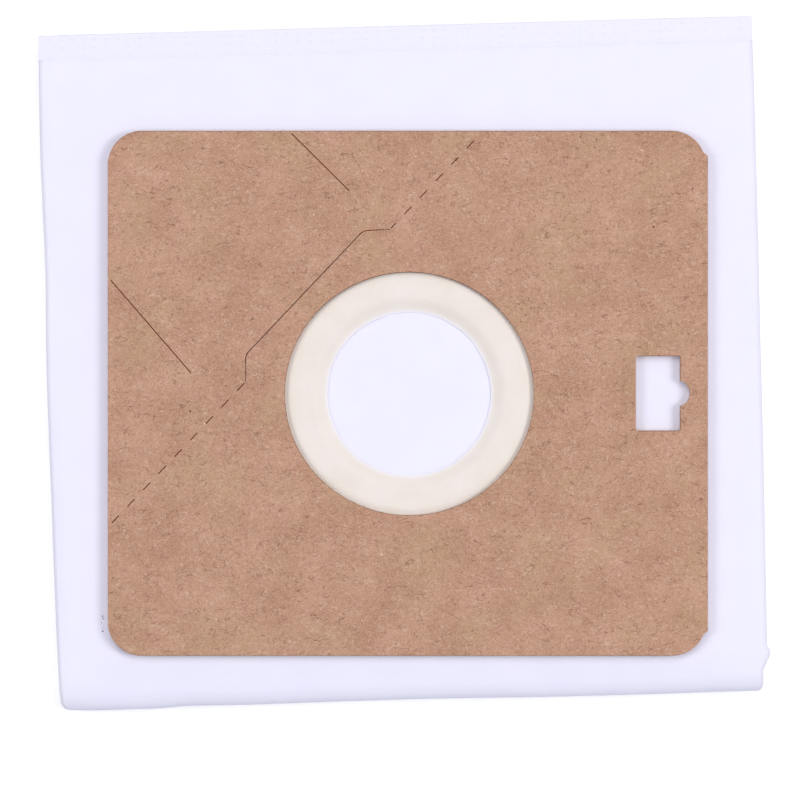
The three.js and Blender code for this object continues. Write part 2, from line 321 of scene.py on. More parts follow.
RIM_SHADE_WIDTH = 0.17
SLIT_DEPTH = 0.3


def past_opening(tree, place):
    """How far a place lies beyond the opening's edge, and how high beside it, from -1 to 1."""
    half_width, half_height = OPENING_WIDTH / 2, OPENING_HEIGHT / 2
    centred = add(tree, VECTOR, (place, (*inlet[:2], 0)), "SUBTRACT")
    rounded = add(tree, VECTOR, (centred, (1 / half_width, 1 / half_height, 0)), "MULTIPLY")
    radius = add(tree, VECTOR, (rounded,), "LENGTH").outputs["Value"]
    beyond = add(tree, MATH, (radius, 1.0), "SUBTRACT")
    beyond = add(tree, MATH, (beyond, half_height), "MULTIPLY")
    return beyond, add(tree, PARTS, (rounded,)).outputs["Y"]


def past_core(tree, place, middle, core):
    """Distance from the core that a rounded outline is drawn around, and its share upwards."""
    past = add(tree, VECTOR, (place, (*middle, 0)), "SUBTRACT")
    past = add(tree, VECTOR, (past, LEVEL), "MULTIPLY")
    past = add(tree, VECTOR, (past,), "ABSOLUTE")
    past = add(tree, VECTOR, (past, (*core, 0)), "SUBTRACT")
    past = add(tree, VECTOR, (past, (0, 0, 0)), "MAXIMUM")
    radius = add(tree, VECTOR, (past,), "LENGTH").outputs["Value"]
    upwards = add(tree, PARTS, (past,)).outputs["Y"]
    return radius, add(tree, MATH, (upwards, radius), "DIVIDE")


print("window's middle at", np.round(WINDOW_MIDDLE, 2), "mm")


# %% How much painted shade lies along a rim, and what lies in a slit
def painted_rim_shade(tree, place):
    """Painted shade along the rims, partly a die-crushed edge: darkest on top of the inlet, faintest at
    the collar's sides.
    """
    beyond, height = past_opening(tree, place)
    # painted shade along the inlet's edge, darkest along its top
    inlet_rim = add(tree, RANGE, (beyond, RIM_SHADE_WIDTH, 0.3 * RIM_SHADE_WIDTH), **SMOOTH)
    strength = add(tree, RANGE, (height, 0.5, 0.85, 0.40, 0.80), **SMOOTH)
    inlet_rim = add(tree, MATH, (inlet_rim, strength), "MULTIPLY")

    # painted shade along the collar's outline, stronger at its top and bottom edges
    radius, upwards = past_core(tree, place, board_middle[:2], COLLAR_CORE)
    start, end = COLLAR_CORNER - 1.4 * RIM_SHADE_WIDTH, COLLAR_CORNER - 0.4 * RIM_SHADE_WIDTH
    collar_rim = add(tree, RANGE, (radius, start, end), **SMOOTH)
    strength = add(tree, RANGE, (upwards, 0.4, 0.9, 0.08, 0.40), **SMOOTH)
    collar_rim = add(tree, MATH, (collar_rim, strength), "MULTIPLY")

    # painted shade round the window, except along its left side
    radius, _ = past_core(tree, place, WINDOW_MIDDLE, WINDOW_CORE)
    start, end = WINDOW_CORNER + 1.5 * RIM_SHADE_WIDTH, WINDOW_CORNER + 0.5 * RIM_SHADE_WIDTH
    window_rim = add(tree, RANGE, (radius, start, end, 0.0, 0.45), **SMOOTH)
    across = add(tree, PARTS, (place,)).outputs["X"]
    right_of = add(tree, MATH, (across, WINDOW_MIDDLE[0] - WINDOW_CORE[0]), "GREATER_THAN")
    window_rim = add(tree, MATH, (window_rim, right_of), "MULTIPLY")
    off_wall = add(tree, MATH, (radius, WINDOW_CORNER + 0.01), "GREATER_THAN")
    window_rim = add(tree, MATH, (window_rim, off_wall), "MULTIPLY")

    rims = add(tree, MATH, (inlet_rim, collar_rim), "MAXIMUM")
    return add(tree, MATH, (rims, window_rim), "MAXIMUM")


def in_slits(tree, place):
    """1 down in the slits: inside the outline, beyond the inlet and left of the window."""
    beyond, _ = past_opening(tree, place)
    radius, _ = past_core(tree, place, board_middle[:2], COLLAR_CORE)
    part = add(tree, PARTS, (place,)).outputs
    inside = add(tree, MATH, (radius, COLLAR_CORNER - 0.2), "LESS_THAN")
    clear = add(tree, MATH, (beyond, 0.5), "GREATER_THAN")
    left = add(tree, MATH, (part["X"], inlet[0] + OPENING_WIDTH / 2), "LESS_THAN")
    low = add(tree, MATH, (part["Z"], board_high[2] - SLIT_DEPTH), "LESS_THAN")
    on_collar = add(tree, MATH, (inside, clear), "MULTIPLY")
    below = add(tree, MATH, (left, low), "MULTIPLY")
    return add(tree, MATH, (on_collar, below), "MULTIPLY")


# the width of the rims' painted shade
print("rims are crushed over", RIM_SHADE_WIDTH, "mm")

# %% The board
KRAFT = {
    "deep": "#AE846D",
    "mid": "#BD937C",
    "light": "#CBA18B",
    "olive": "#BEA17E",
    "dark fibre": "#75503C",
    "pale fibre": "#EBD3BD",
    "cut edge": "#C0A594",
    # the glue line's dark brown, also used for the rims' painted shade
    "glue line and rim shade": "#5C3C28",
    # a strong orange painted in the slits, which tints their shade warm brown
    "slit shade orange": "#F08C40",
}
KRAFT_TONES = {0.34: KRAFT["deep"], 0.5: KRAFT["mid"], 0.66: KRAFT["light"]}
PLY_STRETCH = (0.6, 0.6, 7.0)
BOARD_RELIEF = 0.025


def wall_layers(tree, place):
    """What a cut edge shows: pulp, darker plies, and the line of glue between the boards."""
    facing = add(tree, PARTS, (add(tree, "ShaderNodeNewGeometry").outputs["True Normal"],)).outputs["Z"]
    facing = add(tree, MATH, (facing,), "ABSOLUTE")
    on_wall = add(tree, MATH, (facing, 0.5), "LESS_THAN")
    drawn = add(tree, VECTOR, (place, PLY_STRETCH), "MULTIPLY")
    plies = add(tree, NOISE, {"Vector": drawn, "Scale": 1.0, "Detail": 2.0})
    plies = add(tree, RANGE, (plies, 0.48, 0.62, 0.0, 0.7), **SMOOTH)
    height = add(tree, PARTS, (place,)).outputs["Z"]
    joint = add(tree, RANGE, (apart(tree, height, board_low[2]), 0.10, 0.03, 0.0, 0.65), **SMOOTH)
    return [
        (add(tree, MATH, (on_wall, 0.9), "MULTIPLY"), KRAFT["cut edge"]),
        (add(tree, MATH, (on_wall, plies), "MULTIPLY"), KRAFT["deep"]),
        (add(tree, MATH, (on_wall, joint), "MULTIPLY"), KRAFT["glue line and rim shade"]),
    ]


def kraft_board():
    material, tree, place = new_material("unbleached_kraft_board")
    clouds = add(tree, NOISE, {"Vector": place, "Scale": 0.12, "Detail": 2.0, "Roughness": 0.5})
    fine = add(tree, NOISE, {"Vector": place, "Scale": 3.6, "Detail": 1.0, "Roughness": 0.8})
    cloud_share = add(tree, MATH, (clouds, 0.37), "MULTIPLY")
    tone = add(tree, MATH, (fine, 0.63, cloud_share), "MULTIPLY_ADD")
    ramp = add(tree, "ShaderNodeValToRGB", (tone,))
    ramp.color_ramp.elements.new(0.5)
    set_tones(ramp, KRAFT_TONES)
    cast = {"Vector": place, "W": 3.0, "Scale": 0.11, "Detail": 2.0}
    cast = add(tree, NOISE, cast, noise_dimensions="4D")
    layers = [(add(tree, RANGE, (cast, 0.48, 0.68, 0.0, 0.26), **SMOOTH), KRAFT["olive"])]

    relief = fine
    for seed, scale, stretch, width, kind, amount in WISPS:
        share = wisps(tree, place, seed, scale, stretch, width)
        share = add(tree, MATH, (share, amount), "MULTIPLY")
        layers.append((share, KRAFT[kind]))
        relief = add(tree, MATH, (share, 1.2, relief), "MULTIPLY_ADD")
    for seed, (room, radius, kind, amount) in enumerate(SPECKS):
        share = specks(tree, place, room, radius, float(seed))
        layers.append((add(tree, MATH, (share, amount), "MULTIPLY"), KRAFT[kind]))
    layers += wall_layers(tree, place)
    # the rims' painted shade
    layers.append((painted_rim_shade(tree, place), KRAFT["glue line and rim shade"]))
    # the slits' shade, painted warm with a strong orange
    layers.append((add(tree, MATH, (in_slits(tree, place), 0.95), "MULTIPLY"), KRAFT["slit shade orange"]))
    bump = {"Height": relief, "Distance": BOARD_RELIEF * MM}
    finish = {
        "Base Color": lay_over(tree, ramp, layers),
        "Roughness": 0.9,
        "Specular IOR Level": 0.1,
        "Normal": add(tree, "ShaderNodeBump", bump),
    }
    return with_finish(material, finish)


kraft = kraft_board()
for name in ("front_board", "back_board"):
    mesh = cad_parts[name].data
    mesh.materials.clear()
    mesh.materials.append(kraft)
print("kraft board:", len(kraft.node_tree.nodes), "shader nodes")

# %% [markdown]
# ## Rubber
# The seal is a soft cream rubber, moulded and cut from sheet: dull and faintly mottled. It
# has no gloss to speak of, only a wide soft sheen. Its lip thins out so much at the hole that
# the white fabric under it shines through, so its last millimetre turns whiter.
# %% The seal's rubber
SEAL_HOLE_RADIUS = 16.3
THIN_LIP = 1.1
RUBBER_TONES = {0.32: "#E9E0D7", 0.68: "#EDE5DF"}
SHINING_THROUGH = "#EEEDFA"
RUBBER_RELIEF = 0.012


def cream_rubber():
    material, tree, place = new_material("cream_seal_rubber")
    clouds = add(tree, NOISE, {"Vector": place, "Scale": 0.16, "Detail": 3.0})
    ramp = add(tree, "ShaderNodeValToRGB", (clouds,))
    set_tones(ramp, RUBBER_TONES)
    from_axis = add(tree, VECTOR, (place, (*inlet[:2], 0)), "SUBTRACT")
    level = add(tree, VECTOR, (from_axis, LEVEL), "MULTIPLY")
    radius = add(tree, VECTOR, (level,), "LENGTH").outputs["Value"]
    start, end = SEAL_HOLE_RADIUS + THIN_LIP, SEAL_HOLE_RADIUS - 0.2
    thin = add(tree, RANGE, (radius, start, end, 0.0, 0.75), **SMOOTH)
    skin = add(tree, NOISE, {"Vector": place, "Scale": 4.0, "Detail": 3.0, "Roughness": 0.7})
    bump = {"Height": skin, "Distance": RUBBER_RELIEF * MM, "Strength": 0.5}
    finish = {
        "Base Color": lay_over(tree, ramp, [(thin, SHINING_THROUGH)]),
        "Roughness": 0.6,
        "IOR": 1.52,
        "Specular IOR Level": 0.3,
        "Normal": add(tree, "ShaderNodeBump", bump),
    }
    return with_finish(material, finish)


rubber = cream_rubber()
print("made", rubber.name)

# %% [markdown]
# ## Trees for pieces that follow a rule
# The seal is one rounded rectangle carried round a circle. The welds are a bar with rows of
# small embossed points. Both follow a rule, so Geometry Nodes make them, with their sizes as
# named inputs. The tree runs on an empty mesh, and what it makes is kept as a plain mesh.
# %% Two helpers for Geometry Nodes
def new_tree(name, inputs):
    """A Geometry Nodes tree with named inputs, and its input node's sockets."""
    tree = bpy.data.node_groups.new(name, "GeometryNodeTree")
    for label, kind in inputs.items():
        tree.interface.new_socket(label, in_out="INPUT", socket_type="NodeSocket" + kind)
    tree.interface.new_socket("Geometry", in_out="OUTPUT", socket_type="NodeSocketGeometry")
    return tree, add(tree, "NodeGroupInput").outputs


def grow(name, tree, values):
    """Runs a tree with these values and keeps the result as an object's own mesh."""
    piece = bpy.data.objects.new(name, bpy.data.meshes.new(name))
    bpy.context.scene.collection.objects.link(piece)
    nodes = piece.modifiers.new("nodes", "NODES")
    nodes.node_group = tree
    for item in tree.interface.items_tree:
        if item.in_out == "INPUT":
            nodes[item.identifier] = values[item.name]
    graph = bpy.context.evaluated_depsgraph_get()
    made = bpy.data.meshes.new_from_object(piece.evaluated_get(graph), depsgraph=graph)
    piece.modifiers.clear()
    piece.data = made
    print(name, "has", len(made.polygons), "faces")
    return piece


print("helpers for trees are ready")

# %% [markdown]
# ## The inlet's seal
# The boards pinch a flat rubber ring between them. Inside the opening the freed rubber swells
# up a little, with a narrow groove along the boards' edge, and its lip droops and thins
# towards the hole, whose edge is never quite round. All of that is added to the swept ring
# by one Set Position node, which works from each point's distance from the axis.
# %% How high and how far out each point of the ring goes
OPENING_SQUASH = OPENING_HEIGHT / OPENING_WIDTH
SWELL_SLOPE = 1.3
RAGGED_WIDTH = 2.0
SAME_PLACE = 0.01


def ring_height(tree, given, level, radius, height):
    """The free rubber swells up, and its lip droops and gets thinner."""
    oval = add(tree, VECTOR, (level, (OPENING_SQUASH, 1, 0)), "MULTIPLY")
    oval_radius = add(tree, VECTOR, (oval,), "LENGTH").outputs["Value"]
    lip_start = add(tree, MATH, (given["Hole Radius"], given["Lip Width"]), "ADD")
    lip = add(tree, RANGE, (radius, lip_start, given["Hole Radius"]), **SMOOTH)
    all_free = add(tree, MATH, (given["Free Radius"], SWELL_SLOPE * MM), "SUBTRACT")
    free = add(tree, RANGE, (oval_radius, given["Free Radius"], all_free), **SMOOTH)
    off_lip = add(tree, MATH, (1.0, lip), "SUBTRACT")
    swollen = add(tree, MATH, (free, off_lip), "MULTIPLY")
    swell = add(tree, MATH, (swollen, given["Swell"]), "MULTIPLY")
    droop = add(tree, MATH, (lip, given["Lip Drop"]), "MULTIPLY")
    thinning = add(tree, MATH, (lip, -0.6, 1.0), "MULTIPLY_ADD")
    thinner = add(tree, MATH, (height, thinning), "MULTIPLY")
    rise = add(tree, MATH, (swell, droop), "SUBTRACT")
    return add(tree, MATH, (thinner, rise), "ADD")


def ring_radius(tree, given, outward, radius, height):
    """Both edges are rounded, and the hole's edge is a little ragged."""
    half_thick = add(tree, MATH, (given["Thickness"], 0.5), "MULTIPLY")
    share = add(tree, MATH, (height, half_thick), "DIVIDE")
    share = add(tree, MATH, (share,), "ABSOLUTE")
    share = add(tree, MATH, (share, 1.0), "MINIMUM")
    minus = add(tree, MATH, (share, -1.0), "MULTIPLY")
    chord = add(tree, MATH, (share, minus, 1.0), "MULTIPLY_ADD")
    chord = add(tree, MATH, (chord,), "SQRT")
    rounding = add(tree, MATH, (1.0, chord), "SUBTRACT")
    rounding = add(tree, MATH, (rounding, given["Corner Radius"]), "MULTIPLY")
    on_edges = [
        add(tree, MATH, (apart(tree, radius, given[edge]), SAME_PLACE * MM), "LESS_THAN")
        for edge in ("Hole Radius", "Outer Radius")
    ]
    inwards = add(tree, MATH, on_edges, "SUBTRACT")
    rounded = add(tree, MATH, (rounding, inwards, radius), "MULTIPLY_ADD")

    wander = {"Vector": outward, "W": given["Seed"], "Scale": 5.0, "Detail": 4.0, "Roughness": 0.65}
    wander = add(tree, NOISE, wander, noise_dimensions="4D")
    ragged_end = add(tree, MATH, (given["Hole Radius"], RAGGED_WIDTH * MM), "ADD")
    near_hole = add(tree, RANGE, (radius, ragged_end, given["Hole Radius"]), **SMOOTH)
    pull = add(tree, MATH, (wander, 0.5), "SUBTRACT")
    pull = add(tree, MATH, (pull, given["Raggedness"]), "MULTIPLY")
    return add(tree, MATH, (pull, near_hole, rounded), "MULTIPLY_ADD")


print("opening is", round(OPENING_SQUASH, 3), "as high as it is wide")

# %% The seal's tree
SEAL_NUMBERS = ("Hole Radius", "Outer Radius", "Thickness", "Corner Radius", "Lip Width")
SEAL_NUMBERS += ("Lip Drop", "Free Radius", "Swell", "Raggedness", "Seed")
SEAL_INPUTS = dict.fromkeys(SEAL_NUMBERS, "Float") | {"Middle": "Vector", "Finish": "Material"}


def seal_tree():
    tree, given = new_tree("moulded_ring", SEAL_INPUTS)
    hole, outer = given["Hole Radius"], given["Outer Radius"]
    middle_radius = add(tree, MATH, (hole, outer), "ADD")
    middle_radius = add(tree, MATH, (middle_radius, 0.5), "MULTIPLY")
    width = add(tree, MATH, (outer, hole), "SUBTRACT")
    path = add(tree, "GeometryNodeCurvePrimitiveCircle", {"Resolution": 160, "Radius": middle_radius})
    sheet = {"Width": width, "Height": given["Thickness"]}
    sheet = add(tree, "GeometryNodeCurvePrimitiveQuadrilateral", sheet)
    profile = add(tree, "GeometryNodeSubdivideCurve", {"Curve": sheet, "Cuts": 36})
    ring = add(tree, "GeometryNodeCurveToMesh", {"Curve": path, "Profile Curve": profile})

    place = add(tree, "GeometryNodeInputPosition")
    height = add(tree, PARTS, (place,)).outputs["Z"]
    level = add(tree, VECTOR, (place, LEVEL), "MULTIPLY")
    outward = add(tree, VECTOR, (level,), "NORMALIZE")
    radius = add(tree, VECTOR, (level,), "LENGTH").outputs["Value"]
    new_radius = ring_radius(tree, given, outward, radius, height)
    new_height = ring_height(tree, given, level, radius, height)
    moved = add(tree, VECTOR, {0: outward, "Scale": new_radius}, "SCALE")
    lifted = add(tree, "ShaderNodeCombineXYZ", {"Z": new_height})
    target = add(tree, VECTOR, (moved, lifted), "ADD")
    shaped = add(tree, "GeometryNodeSetPosition", {"Geometry": ring, "Position": target})
    smooth = add(tree, "GeometryNodeSetShadeSmooth", {"Geometry": shaped})
    placed = add(tree, "GeometryNodeTransform", {"Geometry": smooth, "Translation": given["Middle"]})
    real = add(tree, "GeometryNodeRealizeInstances", {"Geometry": placed})
    finished = add(tree, "GeometryNodeSetMaterial", {"Geometry": real, "Material": given["Finish"]})
    add(tree, "NodeGroupOutput", {"Geometry": finished})
    return tree


print("the seal's tree has", len(SEAL_INPUTS), "inputs")

# %% Make the seal
SEAL_THICKNESS = 0.4
SEAL_LIP_WIDTH = 3.2
SEAL_LIP_DROP = 0.60

seal_outer = (seal_high[0] - seal_low[0]) / 2
seal_middle = (inlet[0] * MM, inlet[1] * MM, (seal_high[2] - SEAL_THICKNESS / 2) * MM)
seal_ring = grow(
    "seal_ring",
    seal_tree(),
    {
        "Hole Radius": SEAL_HOLE_RADIUS * MM,
        "Outer Radius": seal_outer * MM,
        "Thickness": SEAL_THICKNESS * MM,
        "Corner Radius": 0.16 * MM,
        "Lip Width": SEAL_LIP_WIDTH * MM,
        "Lip Drop": SEAL_LIP_DROP * MM,
        "Free Radius": 24.25 * MM,
        "Swell": 0.34 * MM,
        "Raggedness": 0.9 * MM,
        "Seed": 4.0,
        "Middle": seal_middle,
        "Finish": rubber,
    },
)
reach = np.array([v.co for v in seal_ring.data.vertices]) / MM
print("seal from", reach.min(axis=0).round(2), "to", reach.max(axis=0).round(2))

# %% [markdown]
# ## Non-woven fabric
# The bag is laminated non-woven: very fine white plastic fibres, blown into a web and
# bonded at tiny points. It has no threads. To the eye it is a dead matt, cold white with a
# faint felt-like grain. Its pattern runs along the fabric and round its folds, so it
# reads the piece's own UV map, in which one unit is one metre of cloth. Along the side
# folds a little grey is painted: mostly painted shade, where the fabric turns down away
# from the light, and partly the web crushed in the crease. The mesh says where, in an
# attribute of its own. A few grey specks of dirt lie beside the collar's lower left corner.
# %% Specks of dirt on the upper panel
DIRT_COLOUR = "#565277"
# left of the collar's lower left corner and above it, and radius, in mm, and strength
DIRT = [
    (1.17, 7.82, 0.145, 0.97),
    (1.04, 7.38, 0.150, 0.85),
    (1.40, 6.47, 0.110, 0.45),
    (0.98, 5.39, 0.110, 0.36),
    (1.14, 4.81, 0.160, 0.97),
]


def dirt(tree, place):
    """How thick the dirt lies on a place."""
    level = add(tree, VECTOR, (place, LEVEL), "MULTIPLY")
    share = 0.0
    for left_of, above, radius, strength in DIRT:
        middle = (board_low[0] - left_of, board_low[1] + above, 0)
        away = add(tree, VECTOR, (level, middle), "DISTANCE").outputs["Value"]
        speck = add(tree, RANGE, (away, 1.2 * radius, 0.7 * radius, 0.0, strength), **SMOOTH)
        share = add(tree, MATH, (share, speck), "MAXIMUM")
    height = add(tree, PARTS, (place,)).outputs["Z"]
    on_top = add(tree, MATH, (height, bag_high[2] - 0.5), "GREATER_THAN")
    return add(tree, MATH, (share, on_top), "MULTIPLY")


print(len(DIRT), "specks of dirt")

# %% The bag's fabric
BOND_PITCH = 1.1
FABRIC_TONES = {0.3: "#ECEBFD", 0.7: "#F0EFFF"}
# the grey painted along the side folds: mostly painted shade, partly the crushed web
FOLD_SHADE_COLOUR = "#D4D4DC"
FABRIC_RELIEF = 0.03
WELD_RELIEF = 0.012


def non_woven(name, relief):
    material, tree, place = new_material(name)
    cloth = add(tree, "ShaderNodeUVMap", uv_map="cloth")
    along = add(tree, VECTOR, (cloth, (1 / MM,) * 3), "MULTIPLY")
    felt = {"Vector": along, "Scale": 2.2, "Detail": 5.0, "Roughness": 0.75, "Distortion": 1.2}
    felt = add(tree, NOISE, felt)
    clouds = add(tree, NOISE, {"Vector": along, "Scale": 0.12, "Detail": 2.0})
    bonds = {"Vector": along, "Scale": 1 / BOND_PITCH, "Randomness": 0.55}
    bonds = add(tree, "ShaderNodeTexVoronoi", bonds, voronoi_dimensions="2D")
    dent = {"Value": bonds.outputs["Distance"], "From Min": 0.16, "From Max": 0.34, "To Max": 0.16}
    dent = add(tree, RANGE, dent)
    height = add(tree, MATH, (felt, 0.8, dent), "MULTIPLY_ADD")
    tone = add(tree, "ShaderNodeMix", {0: 0.5, 2: felt, 3: clouds}, data_type="FLOAT")
    ramp = add(tree, "ShaderNodeValToRGB", (tone,))
    set_tones(ramp, FABRIC_TONES)
    # painted shade along the side folds, read from the mesh's attribute
    fold_shade = add(tree, "ShaderNodeAttribute", attribute_name="fold_shade").outputs["Fac"]
    fold_shade = add(tree, MATH, (fold_shade, 0.3), "MULTIPLY")
    bump = {"Height": height, "Distance": relief * MM, "Strength": 0.7}
    finish = {
        "Base Color": lay_over(tree, ramp, [(fold_shade, FOLD_SHADE_COLOUR), (dirt(tree, place), DIRT_COLOUR)]),
        "Roughness": 0.95,
        "IOR": 1.49,
        "Specular IOR Level": 0.2,
        "Sheen Weight": 0.08,
        "Sheen Roughness": 0.6,
        "Normal": add(tree, "ShaderNodeBump", bump),
    }
    return with_finish(material, finish)


fabric_finish = non_woven("laminated_non_woven_fabric", FABRIC_RELIEF)
weld_finish = non_woven("heat_welded_non_woven", WELD_RELIEF)
print("bond points every", BOND_PITCH, "mm")

# %% [markdown]
# ## The folded tube
# The bag starts as a flat tube: an upper and a lower panel, and along each side a gusset
# tucked in between them. Its cross-section is one closed line, and every point of the line
# is carried along the bag: from the upper weld down to the fold, round it, and back
# underneath to the lower weld. Only the middle of the fabric is drawn, and a Solidify
# modifier gives it its thickness, so the layers can never pass through each other.
# %% The tube's sizes, in millimetres
BAG_WIDTH = 143.4
GUSSET_DEPTH = 20.0
FABRIC = 0.7
LAYER_GAP = 0.35
HALVES_GAP = 0.35
FRONT_LENGTH = 135.5
BACK_LENGTH = 132.5
WELD_WIDTH = 5.0
WELD_THICKNESS = 1.2
FRONT_WELD_HEIGHT = 1.3
BACK_WELD_HEIGHT = 2.3
TUCK_LENGTH = 14.0
INLET_FROM_FOLD = 61.5
INLET_FROM_MIDDLE = 0.8
BAG_TURN = np.radians(1.6)
SPACING = 2.0
BEND_STEPS = 8
FOLD_STEPS = 20
CORNER_LENGTH = 11.0
CORNER_SPACING = 0.7

fold_plane = (bag_low[2] + bag_high[2]) / 2
middle_radius = (FABRIC + LAYER_GAP) / 2
inner_face = HALVES_GAP / 2
outer_face = inner_face + 4 * FABRIC + 3 * LAYER_GAP
middle_face = (inner_face + outer_face) / 2
print("each half is", round(outer_face - inner_face, 2), "mm thick, of", round(fold_plane, 2), "mm")


# %% The tube's section: across and height of each point, all the way round
def straight(start, end):
    count = max(1, round(np.linalg.norm(np.subtract(end, start)) / SPACING))
    return np.linspace(start, end, count, endpoint=False)


def half_round(middle, start_angle, turn):
    angles = np.radians(start_angle + np.linspace(0, turn, BEND_STEPS, endpoint=False))
    x = middle[0] + middle_radius * np.cos(angles)
    return np.stack([x, middle[1] + middle_radius * np.sin(angles)], axis=1)


def right_half():
    side = BAG_WIDTH / 2 - FABRIC - LAYER_GAP / 2
    tuck = BAG_WIDTH / 2 - GUSSET_DEPTH + FABRIC + LAYER_GAP / 2
    top = outer_face - FABRIC / 2
    low = inner_face + FABRIC / 2
    upper = top - middle_radius
    lower = low + middle_radius
    return np.concatenate(
        [
            straight((0, top), (side, top)),
            half_round((side, upper), 90, -180),
            straight((side, upper - middle_radius), (tuck, upper - middle_radius)),
            half_round((tuck, middle_face), 90, 180),
            straight((tuck, lower + middle_radius), (side, lower + middle_radius)),
            half_round((side, lower), 90, -180),
            straight((side, low), (0, low)),
            [(0, low)],
        ]
    )


right = right_half()
left = right[1:-1][::-1] * (-1, 1)
section = np.concatenate([right, left])
around = np.concatenate([[0], np.cumsum(np.linalg.norm(np.diff(section, axis=0), axis=1))])
on_upper_panel = section[:, 1] > outer_face - FABRIC / 2 - 0.01
on_lower_panel = section[:, 1] < inner_face + FABRIC / 2 + 0.01
# points on the side folds, which get painted shade in the fabric's colour
on_shaded_fold = np.abs(section[:, 0]) > right[:, 0].max() - middle_radius
print("section of", len(section), "points,", round(around[-1], 1), "mm round")

# %% [markdown]
# Real fabric is never as true as the drawing. Near the fold both sides draw in, the lower
# left corner most, and at the lower right the gusset pokes out a little before the corner
# tucks back. The fold's own edge steps out by almost half a millimetre in places. These moves
# were read from the photo. They are added to the drawing's own coordinates, before the
# tube is folded, so every layer takes them together.
# %% Small departures from the drawing, in millimetres
# distance from the fold's edge, and how far the side fold stands out there
LEFT_SIDE = [(0, -1.75), (0.5, -1.2), (1.5, -0.80), (4, -0.66), (8, -0.56), (16, -0.40), (32, -0.20)]
LEFT_SIDE += [(44, -0.12), (56, 0.06), (64, 0.12), (75, 0.06), (87, -0.24), (95, -0.12), (111, 0.18)]
LEFT_SIDE += [(136, 0.06)]
RIGHT_SIDE = [(0, -1.65), (1, -1.4), (4.1, -1.42), (5.1, -1.03), (6.1, -0.57), (7.0, 0.04), (7.8, 0.12)]
RIGHT_SIDE += [(8.4, -0.05), (8.9, -0.45), (9.6, -0.50), (20, -0.42), (36, -0.27), (50, -0.17)]
RIGHT_SIDE += [(70, -0.15), (92, -0.02), (136, 0.04)]
# place across the bag, and how far the fold's edge stands out there
FOLD_EDGE = [(-72, 0.2), (-66, 0.45), (-51, 0.42), (-46, 0.0), (-33, 0.17), (-18, 0.0), (2, -0.08)]
FOLD_EDGE += [(12, 0.05), (26, 0.26), (50, 0.30), (62, 0.16), (72, 0.25)]


def ease(value, low, high):
    t = np.clip((value - low) / (high - low), 0, 1)
    return t * t * (3 - 2 * t)


def measured(value, table):
    places, moves = zip(*table)
    return np.interp(value, places, moves)


def waves(value, lengths, seed):
    """A smooth wander between about -1 and 1, the same every time."""
    phases = np.random.default_rng(seed).uniform(0, 2 * np.pi, len(lengths))
    runs = (np.sin(2 * np.pi * value / length + phase) for length, phase in zip(lengths, phases))
    return sum(runs) / len(lengths)


def side_shift(across, from_edge):
    near = ease(np.abs(across), BAG_WIDTH / 2 - GUSSET_DEPTH, BAG_WIDTH / 2)
    shift = np.where(across > 0, measured(from_edge, RIGHT_SIDE), -measured(from_edge, LEFT_SIDE))
    return shift * near


print("7.8 mm above the fold the right side stands out by", measured(7.8, RIGHT_SIDE), "mm")

# %% [markdown]
# The layers don't lie perfectly flat either. The fold is pinched thinner than the bag. The
# upper panel is glued to the back board, so it rises to it, and beside the collar it waves a
# little. Under the inlet there are no gussets between the panels, so the lower one bulges up
# into the opening until it meets the seal. The photo shows bright fabric there and no deep
# shadow, which such a bulge explains.
# %% How far each panel rises, in millimetres
GLUED_LIFT = 0.24
DOME_TOP = 8.5
DOME_CROWN = 0.08
DOME_SHOULDER = 24.0
DOME_RADIUS = 47.0
UNDER_RIM_DROP = 1.1


def level_place(across, along):
    """The bag's own millimetres, turned and moved into the shared frame."""
    across = across - INLET_FROM_MIDDLE
    along = along - INLET_FROM_FOLD
    x = inlet[0] + across * np.cos(BAG_TURN) - along * np.sin(BAG_TURN)
    y = inlet[1] + across * np.sin(BAG_TURN) + along * np.cos(BAG_TURN)
    return x, y


def upper_panel_lift(x, y):
    beyond_x = np.maximum(np.maximum(board_low[0] - x, x - board_high[0]), 0)
    beyond_y = np.maximum(np.maximum(board_low[1] - y, y - board_high[1]), 0)
    beyond = np.hypot(beyond_x, beyond_y)
    ripple = 0.10 * waves(x + 0.35 * y, (61, 37, 23), 21) + 0.08 * waves(y - 0.2 * x, (53, 31, 19), 22)
    return GLUED_LIFT * (1 - ease(beyond, 0.3, 5.0)) + ripple * ease(beyond, 1.0, 9.0)


def lower_panel_lift(x, y):
    radius = np.hypot(x - inlet[0], y - inlet[1])
    flat = fold_plane + inner_face + FABRIC
    full = DOME_TOP - flat
    crown = DOME_CROWN * (1 - ease(radius, 0, SEAL_HOLE_RADIUS)) - DOME_CROWN
    under_rim = -UNDER_RIM_DROP * ease(radius, SEAL_HOLE_RADIUS - 0.5, DOME_SHOULDER + 2)
    ripple = 0.07 * waves(x + 0.6 * y, (19, 11, 7), 31) + 0.05 * waves(y - 0.4 * x, (17, 9), 32)
    rest = (full + crown + under_rim) * (1 - ease(radius, DOME_SHOULDER, DOME_RADIUS))
    return rest + ripple * (1 - ease(radius, 8, 20))


print("under the inlet the lower panel rises by", round(float(lower_panel_lift(*inlet[:2])), 2), "mm")

# %% How the folded layers wander, in millimetres
PINCH = 0.22
PINCH_LENGTH = 9.0
BUCKLE = 0.22
BUCKLE_LENGTH = 11.0
DRAWN_IN = 0.9
GUSSET_RIPPLE = 0.2


def drawn_in(height, from_edge, up):
    """How far each side fold but the topmost is pulled in behind it."""
    low_fold = 1 - ease(height, middle_face - 0.3, middle_face + 0.3)
    high_pull = 0 if up else 0.5 + 0.5 * waves(from_edge, (71, 33, 19), 53)
    low_pull = 0.5 + 0.5 * waves(from_edge, (63, 29, 15), 52 if up else 54)
    pull = high_pull * (1 - low_fold) + low_pull * low_fold
    return DRAWN_IN * pull * ease(from_edge, 6, 22)


